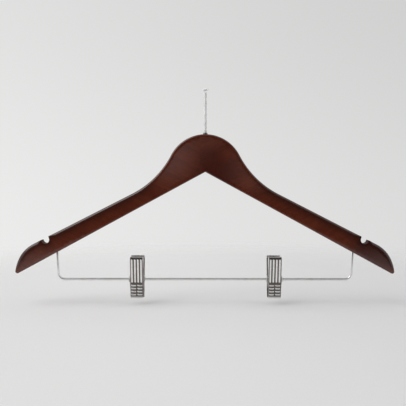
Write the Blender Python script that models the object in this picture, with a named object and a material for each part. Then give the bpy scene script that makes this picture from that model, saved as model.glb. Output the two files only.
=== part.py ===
"""Flat wooden clothes hanger with a security pin, a trouser bar and two sliding clips.

Units are metres. X runs along the shoulders, +Y is the back, +Z is up. The origin is on the
pin's axis, at the underside of its head, where the pin hangs in its ring. "left" is -X.
"""

import math

import bmesh
import bpy
from mathutils import Matrix, Vector

MM = 0.001

# Wooden body: both arms together, seen from the front
HALF_WIDTH = 222.5 * MM
WOOD_THICKNESS = 12.0 * MM
EDGE_RADIUS = 2.2 * MM
EDGE_STEPS = 3
HEAD_TOP_Z = -51.0 * MM
HEAD_RADIUS = 45.0 * MM
NECK_RADIUS = 106.0 * MM
SHOULDER_SLOPE = math.radians(27.0)
SHOULDER_Z = -76.9 * MM  # where the shoulder line would meet x = 0
APEX_Z = -95.0 * MM
UNDERSIDE_SLOPE = math.radians(28.5)
TIP_RADIUS = 38.0 * MM
TIP_CORNER_RADIUS = 2.5 * MM
NOTCH_RADIUS = 4.6 * MM
NOTCH_X = 187.0 * MM
NOTCH_SINK = 2.2 * MM  # how far the notch's centre lies below the shoulder line

# Glued comb joint between the arms
COMB_REACH = 6.0 * MM
COMB_LAYERS = 5
COMB_GAP = 0.3 * MM

# Hanging pin, its sleeve and its retaining ring
PIN_RADIUS = 1.75 * MM
PIN_HEAD_RADIUS = 3.6 * MM
PIN_HEAD_HEIGHT = 2.2 * MM
PIN_HEAD_DOME = 0.5 * MM
PIN_CHAMFER = 0.45 * MM
PIN_NECK_RADIUS = 1.3 * MM
PIN_NECK_LENGTH = 2.6 * MM
PIN_BOTTOM_Z = -79.0 * MM
PIN_GROOVE_RADIUS = 1.1 * MM
PIN_GROOVE_TOP_Z = -75.2 * MM
PIN_GROOVE_HEIGHT = 1.6 * MM
SLEEVE_RADIUS = 2.45 * MM
SLEEVE_BORE_RADIUS = 2.05 * MM
SLEEVE_FLANGE_RADIUS = 2.9 * MM
SLEEVE_FLANGE_HEIGHT = 1.6 * MM
SLEEVE_FLANGE_EDGE = 0.4 * MM
SLEEVE_BOTTOM_Z = -74.6 * MM
PIN_HOLE_RADIUS = 2.75 * MM
PIN_HOLE_BOTTOM_Z = -81.5 * MM
RING_RADIUS = 2.4 * MM
RING_BORE_RADIUS = 1.4 * MM
RING_HEIGHT = 1.0 * MM

# Trouser bar
BAR_RADIUS = 1.5 * MM
BAR_Z = -221.5 * MM
BAR_CORNER_X = 172.8 * MM
BAR_LEG_TOP_X = 174.2 * MM
BAR_LEG_TOP_Z = -176.5 * MM
BAR_BEND_RADIUS = 7.5 * MM
BAR_HOLE_RADIUS = 1.85 * MM
BAR_RESOLUTION = 4

# Clips: (y, z) places are measured from the bar's axis on the back jaw, and mirrored for the front
LEFT_CLIP_X = -80.2 * MM
RIGHT_CLIP_X = 81.8 * MM
SHEET = 0.8 * MM
PLATE_HALF_WIDTH = 7.55 * MM
PLATE_LIP = (7.7 * MM, 27.5 * MM)
PLATE_CREASE = (9.3 * MM, 25.7 * MM)
PLATE_BEND = (4.5 * MM, -4.8 * MM)
PLATE_TIP = (2.9 * MM, -20.9 * MM)
EAR_RADIUS = 4.4 * MM
EAR_SWEEP = math.radians(75)  # half of the ear's round end
EAR_HOLE_RADIUS = 2.75 * MM
FRONT_EAR_X = (6.75 * MM, 7.45 * MM)
FRONT_EAR_Z = (6.0 * MM, -8.0 * MM)
BACK_EAR_X = (7.75 * MM, 8.45 * MM)
BACK_EAR_Z = (5.0 * MM, -14.5 * MM)
RIB_SINK = 0.3 * MM
RIB_PROFILE = ((0.35, 0.95), (1.0, 0.45))  # shares of the rib's height and half width
RIB_END_STEPS = 4
RIB_HEIGHT = 0.75 * MM
RIB_HALF_WIDTH = 1.15 * MM
RIB_PITCH = 3.6 * MM
RIB_COLUMNS = 4
RIB_TOP_Z = 24.6 * MM
RIB_BOTTOM_Z = -3.2 * MM
GRIP_ROWS = 4
GRIP_TOP_Z = -6.4 * MM
GRIP_PITCH = 3.6 * MM
GRIP_HALF_WIDTH = 1.0 * MM
GRIP_HALF_LENGTH = 3.0 * MM
GRIP_X = 3.6 * MM

TUBE_RADIUS = 2.4 * MM
TUBE_BORE_RADIUS = 1.9 * MM
TUBE_HALF_LENGTH = 9.4 * MM
TUBE_FLANGE_RADIUS = 3.2 * MM
TUBE_FLANGE_THICKNESS = 0.6 * MM

SPRING_WIRE_RADIUS = 0.4 * MM
SPRING_RADIUS = 3.15 * MM
SPRING_HALF_LENGTH = 5.2 * MM
SPRING_TURNS = 6
SPRING_STEPS = 14  # points in each turn
SPRING_RESOLUTION = 1
SPRING_LEG_TIP = (6.6 * MM, 14.0 * MM)

PAD_HALF_WIDTH = 6.4 * MM
PAD_TOP_Z = -8.6 * MM
PAD_BOTTOM_Z = -20.3 * MM
PAD_MEETING_Y = 0.2 * MM
PAD_EDGE = 0.4 * MM
FIT_GAP = 0.3 * MM

ROUND_STEPS = 24
ARC_SAG = 0.05 * MM  # how far a chord may lie from its arc
SHARP_ANGLE = math.radians(35)
FAR = 0.3  # longer than any half of the hanger


def clear_scene():
    for obj in list(bpy.data.objects):
        bpy.data.objects.remove(obj, do_unlink=True)


def make_material(name, colour, roughness, metallic):
    material = bpy.data.materials.new(name)
    material.use_nodes = True
    shader = material.node_tree.nodes["Principled BSDF"]
    shader.inputs["Base Color"].default_value = (*colour, 1.0)
    shader.inputs["Roughness"].default_value = roughness
    shader.inputs["Metallic"].default_value = metallic
    return material


def add_object(name, data, material=None, parent=None):
    obj = bpy.data.objects.new(name, data)
    bpy.context.collection.objects.link(obj)
    obj.parent = parent
    if material:
        data.materials.append(material)
    return obj


def mesh_object(name, bm, material=None, parent=None):
    bmesh.ops.recalc_face_normals(bm, faces=bm.faces[:])
    mesh = bpy.data.meshes.new(name)
    bm.to_mesh(mesh)
    bm.free()
    return add_object(name, mesh, material, parent)


def shade_round(obj):
    obj.data.shade_smooth()
    obj.data.set_sharp_from_angle(angle=SHARP_ANGLE)


def as_helper(obj):
    obj.hide_render = True
    obj.display_type = "WIRE"
    return obj


def add_boolean(obj, helper, operation):
    modifier = obj.modifiers.new(helper.name, "BOOLEAN")
    modifier.operation = operation
    modifier.solver = "EXACT"
    modifier.object = helper


def extrude_outline(bm, corners, step):
    """Adds the solid swept by a flat outline (3-D points) along the vector step."""
    face = bm.faces.new([bm.verts.new(corner) for corner in corners])
    swept = bmesh.ops.extrude_face_region(bm, geom=[face])["geom"]
    moved = [item for item in swept if isinstance(item, bmesh.types.BMVert)]
    bmesh.ops.translate(bm, verts=moved, vec=step)


def turned(name, profile, material=None, parent=None):
    """A turned piece: profile lists (radius, z) and is spun about Z."""
    bm = bmesh.new()
    verts = [bm.verts.new((radius, 0.0, z)) for radius, z in profile]
    edges = [bm.edges.new(pair) for pair in zip(verts, verts[1:])]
    if profile[0][0] > 0.0:
        edges.append(bm.edges.new((verts[-1], verts[0])))
    bmesh.ops.spin(
        bm, geom=verts + edges, cent=(0, 0, 0), axis=(0, 0, 1),
        angle=math.tau, steps=ROUND_STEPS, use_merge=True,
    )
    bmesh.ops.remove_doubles(bm, verts=bm.verts[:], dist=1e-7)
    obj = mesh_object(name, bm, material, parent)
    shade_round(obj)
    return obj


def wire(name, points, radius, resolution, material, parent=None):
    """A round wire along points, as a curve with filled ends."""
    curve = bpy.data.curves.new(name, "CURVE")
    curve.dimensions = "3D"
    curve.bevel_depth = radius
    curve.bevel_resolution = resolution
    curve.use_fill_caps = True
    spline = curve.splines.new("POLY")
    spline.points.add(len(points) - 1)
    for target, point in zip(spline.points, points):
        target.co = (*point, 1.0)
    return add_object(name, curve, material, parent)


def arc_steps(radius, angle):
    return math.ceil(abs(angle) / (2 * math.acos(1 - ARC_SAG / radius)))


def arc(centre, radius, start, end):
    """Points (u, v) on an arc, from angle start to angle end, both ends included."""
    steps = arc_steps(radius, end - start)
    found = []
    for i in range(steps + 1):
        angle = start + (end - start) * i / steps
        found.append(Vector((
            centre[0] + radius * math.cos(angle), centre[1] + radius * math.sin(angle))))
    return found


def rounded_path(corners, radius):
    """An open flat path with each inner corner replaced by an arc of the given radius."""
    path = [Vector(corners[0])]
    for before, corner, after in zip(corners, corners[1:], corners[2:]):
        corner = Vector(corner)
        towards = (Vector(before) - corner).normalized()
        away = (Vector(after) - corner).normalized()
        half = towards.angle(away) / 2
        centre = corner + (towards + away).normalized() * radius / math.sin(half)
        start = corner + towards * radius / math.tan(half) - centre
        turn = start.angle_signed(corner + away * radius / math.tan(half) - centre)
        steps = arc_steps(radius, turn)
        for i in range(steps + 1):
            path.append(centre + Matrix.Rotation(-turn * i / steps, 2) @ start)
    path.append(Vector(corners[-1]))
    return path


def shoulder_z(x):
    return SHOULDER_Z - math.tan(SHOULDER_SLOPE) * x


def downhill(slope):
    """Unit (x, z) vectors along a line that falls towards the tip, and square to it, upwards."""
    along = Vector((math.cos(slope), -math.sin(slope)))
    upward = Vector((math.sin(slope), math.cos(slope)))
    return along, upward


def line_meets_circle(start, along, centre, radius):
    """The further of the two points where the line from start meets the circle."""
    offset = start - centre
    dot = offset.dot(along)
    slide = -dot + math.sqrt(dot * dot - offset.length_squared + radius * radius)
    return start + slide * along


def half_outline():
    """(x, z) points of the right arm, from the top of the head round the tip to the apex."""
    along, upward = downhill(SHOULDER_SLOPE)
    line_start = Vector((0.0, SHOULDER_Z))
    head = Vector((0.0, HEAD_TOP_Z - HEAD_RADIUS))
    neck_line = line_start + NECK_RADIUS * upward
    neck = line_meets_circle(neck_line, along, head, HEAD_RADIUS + NECK_RADIUS)
    meet = math.atan2(neck.y - head.y, neck.x - head.x)
    outline = arc(head, HEAD_RADIUS, math.pi / 2, meet)
    neck_end = -math.pi / 2 - SHOULDER_SLOPE
    outline += arc(neck, NECK_RADIUS, meet - math.pi, neck_end)[1:]

    tip_x = HALF_WIDTH - TIP_RADIUS
    slide = (tip_x + TIP_RADIUS * upward.x) / along.x
    tip = line_start + slide * along - TIP_RADIUS * upward
    along, upward = downhill(UNDERSIDE_SLOPE)
    corner_line = Vector((0.0, APEX_Z)) + TIP_CORNER_RADIUS * upward
    corner = line_meets_circle(corner_line, along, tip, TIP_RADIUS - TIP_CORNER_RADIUS)
    touch = math.atan2(corner.y - tip.y, corner.x - tip.x)
    outline += arc(tip, TIP_RADIUS, math.pi / 2 - SHOULDER_SLOPE, touch)
    under = -math.pi / 2 - UNDERSIDE_SLOPE
    outline += arc(corner, TIP_CORNER_RADIUS, touch, under)[1:]
    outline.append(Vector((0.0, APEX_Z)))
    return outline


def inset(outline, distance):
    """The closed clockwise outline, moved inwards by distance."""
    moved = []
    for i, point in enumerate(outline):
        before = (point - outline[i - 1]).normalized()
        after = (outline[(i + 1) % len(outline)] - point).normalized()
        normals = [Vector((side.y, -side.x)) for side in (before, after)]
        both = normals[0] + normals[1]
        moved.append(point + both * distance / (1.0 + normals[0].dot(normals[1])))
    return moved


def wood_blank():
    """The whole wooden body in one piece, with its long edges rounded."""
    right = half_outline()
    left = [Vector((-point.x, point.y)) for point in reversed(right[1:-1])]
    outline = right + left
    half = WOOD_THICKNESS / 2
    rings = []
    for side in (-1, 1):
        for i in range(EDGE_STEPS + 1):
            step = i if side < 0 else EDGE_STEPS - i
            angle = math.pi / 2 * step / EDGE_STEPS
            inward = EDGE_RADIUS * (1 - math.sin(angle))
            y = side * (half - EDGE_RADIUS * (1 - math.cos(angle)))
            rings.append((y, inset(outline, inward)))
    bm = bmesh.new()
    loops = [[bm.verts.new((p.x, y, p.y)) for p in ring] for y, ring in rings]
    for lower, upper in zip(loops, loops[1:]):
        for i in range(len(lower)):
            bm.faces.new((lower[i - 1], lower[i], upper[i], upper[i - 1]))
    bm.faces.new(loops[0])
    bm.faces.new(loops[-1])
    return bm


def comb_cutter(side):
    """What the arm on this side (-1 left, 1 right) gives up: the far half and its comb slots."""
    layer = WOOD_THICKNESS / COMB_LAYERS
    gap = COMB_GAP / 2
    first_finger = 0 if side > 0 else 1
    outline = [(-FAR, -FAR)]
    for i in range(COMB_LAYERS):
        is_finger = i % 2 == first_finger
        edge = gap - COMB_REACH if is_finger else gap + COMB_REACH
        margin = gap if is_finger else -gap
        low = i * layer - WOOD_THICKNESS / 2
        start = -FAR if i == 0 else low + margin
        end = FAR if i == COMB_LAYERS - 1 else low + layer - margin
        outline += [(edge, start), (edge, end)]
    outline.append((-FAR, FAR))
    bm = bmesh.new()
    corners = [Vector((side * x, y, -FAR)) for x, y in outline]
    extrude_outline(bm, corners, Vector((0, 0, 2 * FAR)))
    return as_helper(mesh_object(f"comb_cutter_{'right' if side > 0 else 'left'}", bm))


def cylinder_cutter(name, start, end, radius, parent=None):
    bm = bmesh.new()
    length = (end - start).length
    turn = (end - start).to_track_quat("Z", "Y").to_matrix().to_4x4()
    place = Matrix.Translation((start + end) / 2) @ turn
    bmesh.ops.create_cone(
        bm, cap_ends=True, segments=ROUND_STEPS, radius1=radius, radius2=radius,
        depth=length, matrix=place,
    )
    return as_helper(mesh_object(name, bm, parent=parent))


def make_arm(name, side, pin_hole, material):
    arm = mesh_object(name, wood_blank(), material)
    shade_round(arm)
    add_boolean(arm, comb_cutter(side), "DIFFERENCE")
    add_boolean(arm, pin_hole, "DIFFERENCE")

    notch = Vector((side * NOTCH_X, 0.0, shoulder_z(NOTCH_X) - NOTCH_SINK))
    reach = Vector((0, WOOD_THICKNESS, 0))
    cutter = cylinder_cutter(f"{name}_notch", notch - reach, notch + reach, NOTCH_RADIUS)
    add_boolean(arm, cutter, "DIFFERENCE")

    leg_top = Vector((side * BAR_LEG_TOP_X, 0.0, BAR_LEG_TOP_Z))
    leg_foot = Vector((side * BAR_CORNER_X, 0.0, BAR_Z))
    blind_end = leg_top + (leg_top - leg_foot).normalized() * FIT_GAP
    cutter = cylinder_cutter(f"{name}_bar_hole", leg_foot, blind_end, BAR_HOLE_RADIUS)
    add_boolean(arm, cutter, "DIFFERENCE")
    return arm


def make_wood(material):
    top = Vector((0, 0, HEAD_TOP_Z + PIN_HOLE_RADIUS))
    bottom = Vector((0, 0, PIN_HOLE_BOTTOM_Z))
    pin_hole = cylinder_cutter("pin_hole", bottom, top, PIN_HOLE_RADIUS)
    make_arm("left_arm", -1, pin_hole, material)
    make_arm("right_arm", 1, pin_hole, material)


def make_pin(chrome):
    top, edge = PIN_HEAD_HEIGHT, PIN_HEAD_RADIUS - 0.6 * PIN_HEAD_DOME
    groove_bottom = PIN_GROOVE_TOP_Z - PIN_GROOVE_HEIGHT
    turned("hanging_pin", [
        (0.0, top),
        (0.6 * PIN_HEAD_RADIUS, top - 0.3 * PIN_HEAD_DOME),
        (edge, top - PIN_HEAD_DOME),
        (PIN_HEAD_RADIUS, top - 2 * PIN_HEAD_DOME),
        (PIN_HEAD_RADIUS, PIN_HEAD_DOME),
        (edge, 0.0),
        (PIN_NECK_RADIUS, 0.0),
        (PIN_NECK_RADIUS, -PIN_NECK_LENGTH),
        (PIN_RADIUS, -PIN_NECK_LENGTH - PIN_CHAMFER),
        (PIN_RADIUS, PIN_GROOVE_TOP_Z),
        (PIN_GROOVE_RADIUS, PIN_GROOVE_TOP_Z),
        (PIN_GROOVE_RADIUS, groove_bottom),
        (PIN_RADIUS, groove_bottom),
        (PIN_RADIUS, PIN_BOTTOM_Z + PIN_CHAMFER),
        (PIN_RADIUS - PIN_CHAMFER, PIN_BOTTOM_Z),
        (0.0, PIN_BOTTOM_Z),
    ], chrome)


def make_sleeve(sleeve_metal):
    seat_z = HEAD_TOP_Z + FIT_GAP
    flange_z = seat_z + SLEEVE_FLANGE_HEIGHT
    turned("pin_sleeve", [
        (SLEEVE_FLANGE_RADIUS - SLEEVE_FLANGE_EDGE, flange_z),
        (SLEEVE_FLANGE_RADIUS, flange_z - SLEEVE_FLANGE_EDGE),
        (SLEEVE_FLANGE_RADIUS, seat_z),
        (SLEEVE_RADIUS, seat_z),
        (SLEEVE_RADIUS, SLEEVE_BOTTOM_Z),
        (SLEEVE_BORE_RADIUS, SLEEVE_BOTTOM_Z),
        (SLEEVE_BORE_RADIUS, flange_z),
    ], sleeve_metal)


def make_retaining_ring(steel):
    ring_top = PIN_GROOVE_TOP_Z - (PIN_GROOVE_HEIGHT - RING_HEIGHT) / 2
    turned("pin_retaining_ring", [
        (RING_RADIUS, ring_top),
        (RING_RADIUS, ring_top - RING_HEIGHT),
        (RING_BORE_RADIUS, ring_top - RING_HEIGHT),
        (RING_BORE_RADIUS, ring_top),
    ], steel)


def make_bar(chrome):
    corners = [
        (-BAR_LEG_TOP_X, BAR_LEG_TOP_Z), (-BAR_CORNER_X, BAR_Z),
        (BAR_CORNER_X, BAR_Z), (BAR_LEG_TOP_X, BAR_LEG_TOP_Z),
    ]
    path = rounded_path(corners, BAR_BEND_RADIUS)
    wire("trouser_bar", [(p.x, 0.0, p.y) for p in path], BAR_RADIUS, BAR_RESOLUTION, chrome)


def plate_y(z):
    """Distance of a jaw plate's middle surface from the bar's axis at height z."""
    near, far = (PLATE_BEND, PLATE_CREASE) if z > PLATE_BEND[1] else (PLATE_TIP, PLATE_BEND)
    share = (z - near[1]) / (far[1] - near[1])
    return near[0] + share * (far[0] - near[0])


def add_sheet(bm, rows):
    """A bent sheet of varying width: rows list (y, z, half width) along its middle surface."""
    middle = [Vector(row[:2]) for row in rows]
    loops = []
    for i, point in enumerate(middle):
        before = (point - middle[i - 1]).normalized() if i else None
        after = (middle[i + 1] - point).normalized() if i + 1 < len(middle) else None
        first, second = before or after, after or before
        normals = [Vector((-side.y, side.x)) for side in (first, second)]
        shift = (normals[0] + normals[1]) * SHEET / 2 / (1 + normals[0].dot(normals[1]))
        corners = []
        for along, face in ((-1, 1), (1, 1), (1, -1), (-1, -1)):
            corner = point + face * shift
            corners.append(bm.verts.new((along * rows[i][2], corner.x, corner.y)))
        loops.append(corners)
    for upper, lower in zip(loops, loops[1:]):
        for i in range(len(upper)):
            bm.faces.new((upper[i - 1], upper[i], lower[i], lower[i - 1]))
    bm.faces.new(loops[0])
    bm.faces.new(loops[-1])


def plate_rows(facing):
    """The jaw's rows, top to bottom; the back one widens into shoulders where its ears fold."""
    width = PLATE_HALF_WIDTH
    rows = [(*PLATE_LIP, width), (*PLATE_CREASE, width)]
    if facing < 0:
        rows.append((*PLATE_BEND, width))
    else:
        wide = sum(BACK_EAR_X) / 2
        slope = wide - width
        top, bottom = BACK_EAR_Z
        rows.append((plate_y(top + slope), top + slope, width))
        rows.append((plate_y(top), top, wide))
        rows.append((*PLATE_BEND, wide))
        rows.append((plate_y(bottom), bottom, wide))
        rows.append((plate_y(bottom - slope), bottom - slope, width))
    rows.append((*PLATE_TIP, width))
    return [(facing * y, z, half_width) for y, z, half_width in rows]


def add_ears(bm, x_range, z_range, facing):
    """Two ears, from the plate's middle surface to a round end about the pivot."""
    top, bottom = z_range
    outline = [Vector((plate_y(top), top)), Vector(PLATE_BEND), Vector((plate_y(bottom), bottom))]
    outline += arc((0.0, 0.0), EAR_RADIUS, math.pi + EAR_SWEEP, math.pi - EAR_SWEEP)
    for side in (-1, 1):
        corners = [Vector((side * x_range[0], facing * p.x, p.y)) for p in outline]
        extrude_outline(bm, corners, Vector((side * (x_range[1] - x_range[0]), 0, 0)))


def add_rib(bm, low, high, half_width, outward):
    """A long raised rib from low to high, round at both ends and narrower at its crest."""
    along = (high - low).normalized()
    across = along.cross(outward)
    ends = ((high - along * half_width, 0.0), (low + along * half_width, math.pi))
    loops = []
    for height_share, width_share in ((-RIB_SINK / RIB_HEIGHT, 1.0), *RIB_PROFILE):
        radius = half_width * width_share
        lift = outward * (SHEET / 2 + RIB_HEIGHT * height_share)
        loop = []
        for centre, start_angle in ends:
            for i in range(RIB_END_STEPS + 1):
                angle = start_angle + math.pi * i / RIB_END_STEPS
                side = across * math.cos(angle) + along * math.sin(angle)
                loop.append(bm.verts.new(centre + radius * side + lift))
        loops.append(loop)
    for lower, upper in zip(loops, loops[1:]):
        for i in range(len(lower)):
            bm.faces.new((lower[i - 1], lower[i], upper[i], upper[i - 1]))
    bm.faces.new(loops[0])
    bm.faces.new(loops[-1])


def add_ribs(bm, facing):
    """Four upright ribs for the fingers, and rows of short ribs across the jaw."""
    def on_plate(x, z):
        return Vector((x, facing * plate_y(z), z))

    handle_out = Vector((0, PLATE_CREASE[1] - PLATE_BEND[1], PLATE_BEND[0] - PLATE_CREASE[0]))
    jaw_out = Vector((0, PLATE_BEND[1] - PLATE_TIP[1], PLATE_TIP[0] - PLATE_BEND[0]))
    for normal in (handle_out, jaw_out):
        normal.normalize()
        normal.y *= facing
    for i in range(RIB_COLUMNS):
        x = (i - (RIB_COLUMNS - 1) / 2) * RIB_PITCH
        ends = on_plate(x, RIB_BOTTOM_Z), on_plate(x, RIB_TOP_Z)
        add_rib(bm, *ends, RIB_HALF_WIDTH, handle_out)
    for row in range(GRIP_ROWS):
        z = GRIP_TOP_Z - row * GRIP_PITCH
        for x in (-GRIP_X, GRIP_X):
            ends = on_plate(x - GRIP_HALF_LENGTH, z), on_plate(x + GRIP_HALF_LENGTH, z)
            add_rib(bm, *ends, GRIP_HALF_WIDTH, jaw_out)


def make_jaw(name, facing, pivot, chrome):
    """A stamped jaw: facing is -1 for the front one, whose ears lie inside the back one's."""
    bm = bmesh.new()
    add_sheet(bm, plate_rows(facing))
    jaw = mesh_object(name, bm, chrome, pivot)

    ears = bmesh.new()
    if facing < 0:
        add_ears(ears, FRONT_EAR_X, FRONT_EAR_Z, facing)
    else:
        add_ears(ears, BACK_EAR_X, BACK_EAR_Z, facing)
    helper = as_helper(mesh_object(f"{name}_ears", ears, parent=pivot))
    add_boolean(jaw, helper, "UNION")

    ribs = bmesh.new()
    add_ribs(ribs, facing)
    helper = as_helper(mesh_object(f"{name}_ribs", ribs, parent=pivot))
    add_boolean(jaw, helper, "UNION")

    reach = Vector((2 * PLATE_HALF_WIDTH, 0, 0))
    cutter = cylinder_cutter(f"{name}_pivot_hole", -reach, reach, EAR_HOLE_RADIUS, pivot)
    add_boolean(jaw, cutter, "DIFFERENCE")
    shade_round(jaw)


def make_pivot_tube(name, pivot, chrome):
    inner_face = TUBE_HALF_LENGTH - TUBE_FLANGE_THICKNESS
    tube = turned(name, [
        (TUBE_FLANGE_RADIUS, TUBE_HALF_LENGTH),
        (TUBE_FLANGE_RADIUS, inner_face),
        (TUBE_RADIUS, inner_face),
        (TUBE_RADIUS, -inner_face),
        (TUBE_FLANGE_RADIUS, -inner_face),
        (TUBE_FLANGE_RADIUS, -TUBE_HALF_LENGTH),
        (TUBE_BORE_RADIUS, -TUBE_HALF_LENGTH),
        (TUBE_BORE_RADIUS, TUBE_HALF_LENGTH),
    ], chrome, pivot)
    tube.rotation_euler = (0, math.pi / 2, 0)


def make_spring(name, pivot, steel):
    """A torsion spring round the pivot tube, with a leg up the inside of each handle."""
    tip_y, tip_z = SPRING_LEG_TIP
    reach = math.hypot(tip_y, tip_z)
    lean = math.acos(SPRING_RADIUS / reach) - math.atan2(tip_z, tip_y)
    start = math.pi + lean
    end = (SPRING_TURNS + 1) * math.tau - lean
    steps = round((end - start) / math.tau * SPRING_STEPS)
    points = [(-SPRING_HALF_LENGTH, -tip_y, tip_z)]
    for i in range(steps + 1):
        share = i / steps
        angle = start + (end - start) * share
        x = (2 * share - 1) * SPRING_HALF_LENGTH
        points.append((x, SPRING_RADIUS * math.cos(angle), SPRING_RADIUS * math.sin(angle)))
    points.append((SPRING_HALF_LENGTH, tip_y, tip_z))
    wire(name, points, SPRING_WIRE_RADIUS, SPRING_RESOLUTION, steel, pivot)


def make_pad(name, facing, pivot, rubber):
    inner = SHEET / 2 + FIT_GAP
    corners = [
        (PAD_MEETING_Y, PAD_TOP_Z), (plate_y(PAD_TOP_Z) - inner, PAD_TOP_Z),
        (plate_y(PAD_BOTTOM_Z) - inner, PAD_BOTTOM_Z), (PAD_MEETING_Y, PAD_BOTTOM_Z),
    ]
    bm = bmesh.new()
    outline = [Vector((-PAD_HALF_WIDTH, facing * y, z)) for y, z in corners]
    extrude_outline(bm, outline, Vector((2 * PAD_HALF_WIDTH, 0, 0)))
    pad = mesh_object(name, bm, rubber, pivot)
    bevel = pad.modifiers.new("rounded_edges", "BEVEL")
    bevel.width = PAD_EDGE
    bevel.segments = 2


def make_clip(side_name, x, chrome, steel, rubber):
    pivot = add_object(f"{side_name}_clip_axis", None)
    pivot.location = (x, 0.0, BAR_Z)
    make_pivot_tube(f"{side_name}_clip_pivot_tube", pivot, chrome)
    make_spring(f"{side_name}_clip_spring", pivot, steel)
    for jaw, facing in (("front", -1), ("back", 1)):
        make_jaw(f"{side_name}_clip_{jaw}_jaw", facing, pivot, chrome)
        make_pad(f"{side_name}_clip_{jaw}_pad", facing, pivot, rubber)


def main():
    clear_scene()
    wood = make_material("mahogany_lacquer", (0.062, 0.018, 0.012), 0.32, 0.0)
    chrome = make_material("chrome_plate", (0.62, 0.61, 0.60), 0.18, 1.0)
    sleeve_metal = make_material("dark_nickel", (0.16, 0.14, 0.13), 0.35, 1.0)
    steel = make_material("spring_steel", (0.33, 0.33, 0.34), 0.3, 1.0)
    rubber = make_material("grip_rubber", (0.10, 0.10, 0.11), 0.7, 0.0)
    make_wood(wood)
    make_pin(chrome)
    make_sleeve(sleeve_metal)
    make_retaining_ring(steel)
    make_bar(chrome)
    make_clip("left", LEFT_CLIP_X, chrome, steel, rubber)
    make_clip("right", RIGHT_CLIP_X, chrome, steel, rubber)


main()
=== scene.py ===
"""The looks of a wooden security-pin hanger with a trouser bar and two sliding clips.

Every piece but the hidden retaining ring is built here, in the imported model's frame: metres, X
along the shoulders, +Y the back, +Z up, with the origin at the underside of the pin's head.
"""

import math
from collections import namedtuple

import bmesh
import bpy
import numpy as np
from mathutils import Matrix, Vector
from mathutils.geometry import delaunay_2d_cdt


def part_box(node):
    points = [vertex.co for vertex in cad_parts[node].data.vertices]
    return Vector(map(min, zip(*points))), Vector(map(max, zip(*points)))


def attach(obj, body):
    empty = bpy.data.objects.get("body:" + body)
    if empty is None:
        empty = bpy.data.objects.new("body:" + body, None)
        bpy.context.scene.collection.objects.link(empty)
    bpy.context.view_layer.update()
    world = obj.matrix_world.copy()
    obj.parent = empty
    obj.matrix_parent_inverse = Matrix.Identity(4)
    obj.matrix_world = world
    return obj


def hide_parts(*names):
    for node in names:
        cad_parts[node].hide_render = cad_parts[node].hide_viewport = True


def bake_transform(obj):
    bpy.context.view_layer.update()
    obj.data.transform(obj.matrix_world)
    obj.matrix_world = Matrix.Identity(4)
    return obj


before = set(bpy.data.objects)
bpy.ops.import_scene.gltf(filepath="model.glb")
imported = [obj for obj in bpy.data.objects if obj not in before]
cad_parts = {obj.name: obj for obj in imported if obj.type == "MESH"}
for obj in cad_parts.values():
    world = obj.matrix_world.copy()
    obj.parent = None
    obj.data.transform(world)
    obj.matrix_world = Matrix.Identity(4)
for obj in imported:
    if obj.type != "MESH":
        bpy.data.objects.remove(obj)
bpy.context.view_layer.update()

MM = 0.001
SIDES = {"left": -1, "right": 1}

# The wooden body's outline, as the CAD arms have it
HALF_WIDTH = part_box("right_arm")[1].x
HALF_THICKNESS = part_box("right_arm")[1].y
HEAD_TOP_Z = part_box("right_arm")[1].z
HEAD_RADIUS = 45.0 * MM
NECK_RADIUS = 106.0 * MM
SHOULDER_SLOPE = math.radians(27.0)
SHOULDER_Z = -76.9 * MM
APEX_Z = -95.0 * MM
APEX_RADIUS = 1.2 * MM
UNDERSIDE_SLOPE = math.radians(28.5)
TIP_RADIUS = 38.0 * MM
TIP_CORNER_RADIUS = 2.5 * MM
NOTCH_X = 187.0 * MM
NOTCH_SINK = 2.2 * MM  # how far the notch's centre lies below the shoulder line
NOTCH_RADIUS = 4.6 * MM
NOTCH_INNER_X = 183.4 * MM
NOTCH_LIP_RADIUS = 0.6 * MM

# The rounding of its long edges
EDGE_RADIUS = 3.6 * MM
HEAD_EDGE_RADIUS = 2.3 * MM
HEAD_FADE = (82.0 * MM, 45.0 * MM)  # where the arms' wide rounding ends, and the head's begins
UNDER_EDGE_RADIUS = 1.3 * MM
UNDER_FADE = (2.0 * MM, 14.0 * MM)  # heights above the underside, from its rounding to the top's
NOTCH_EDGE_RADIUS = 0.75 * MM
NOTCH_REACH = 6.2 * MM
NOTCH_EDGE_BLEND = 5.0 * MM
EDGE_STEPS = 8
WOOD_SAG = 0.01 * MM
WOOD_SPACING = 5.0 * MM
NOTCH_WALL_SPACING = 0.6 * MM
FACE_SPACING = 3.5 * MM

# The comb joint at the head, and the drilled holes
COMB_REACH = 6.0 * MM
COMB_LAYERS = 5
SEAM_GAP = 0.03 * MM
PIN_HOLE_RADIUS = 2.75 * MM
PIN_HOLE_MARGINS = (2.5 * MM, 3.0 * MM)  # below the pin's end, and above the head
BAR_HOLE_RADIUS = 1.75 * MM
BAR_HOLE_MARGIN = 0.3 * MM
FAR = 0.3  # well past the wood on every side
DRILL_STEPS = 48

# Painted shade along the top edges; round (place, reach, depth), the wood stained deeper at the comb
# joint and painted shade at the right arm's tip
EDGE_SHADE_COLOUR = (0.026, 0.0075, 0.0050)
EDGE_SHADE_REACH = 9.0 * MM
# One darker colour for the deeper-stained joint and for the painted shade at the right arm's tip
STAIN_AND_SHADE_COLOUR = (0.052, 0.0078, 0.0038)
JOINT_STAIN = ((0.012, 0.0, -0.097), 0.042, 0.85)
# The right arm's second place, at its tip, is painted shade
STAINS_AND_SHADES = {"mahogany_left": [JOINT_STAIN],
          "mahogany_right": [JOINT_STAIN, ((0.204, 0.0, -0.186), 0.045, 0.95)]}

# The trouser bar
BAR_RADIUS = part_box("trouser_bar")[1].y
BAR_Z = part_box("trouser_bar")[0].z + BAR_RADIUS
BAR_CORNER_X = 172.8 * MM
BAR_LEG_TOP_X = 174.2 * MM
BAR_LEG_TOP_Z = -176.5 * MM
BAR_BEND_RADIUS = 7.5 * MM


def clip_x(side):
    low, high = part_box(f"{side}_clip_pivot_tube")
    return (low.x + high.x) / 2


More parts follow.
